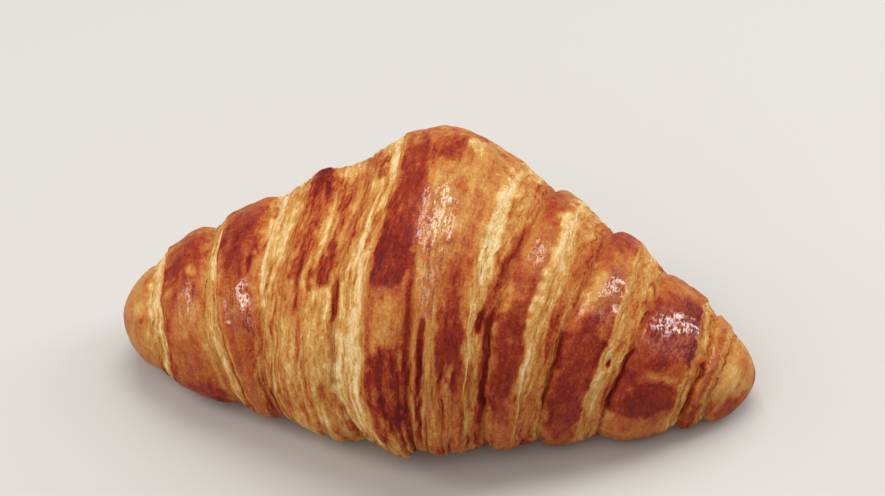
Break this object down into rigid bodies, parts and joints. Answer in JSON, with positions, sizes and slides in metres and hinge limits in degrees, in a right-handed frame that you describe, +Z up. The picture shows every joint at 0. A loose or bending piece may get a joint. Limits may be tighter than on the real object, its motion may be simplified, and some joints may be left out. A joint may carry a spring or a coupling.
{
  "type": "croissant",
  "caption": "Baked butter croissant: a plump spindle of rolled, layered dough with puffed bands, flaky seams and a flat underside.",
  "frame": {"origin": "centre of the bounding box, on the surface that the croissant lies on", "axes": "+X along the roll from the left tip to the right tip, -Y the front where the tongue comes down, +Z up"},
  "size_m": [0.155, 0.0888, 0.0625],
  "materials": {
    "crust": "egg-washed baked crust, red-brown on the bands, golden to cream in the seams, half gloss"
  },
  "bodies": {
    "root": {"croissant": "crust"}
  },
  "joints": []
}
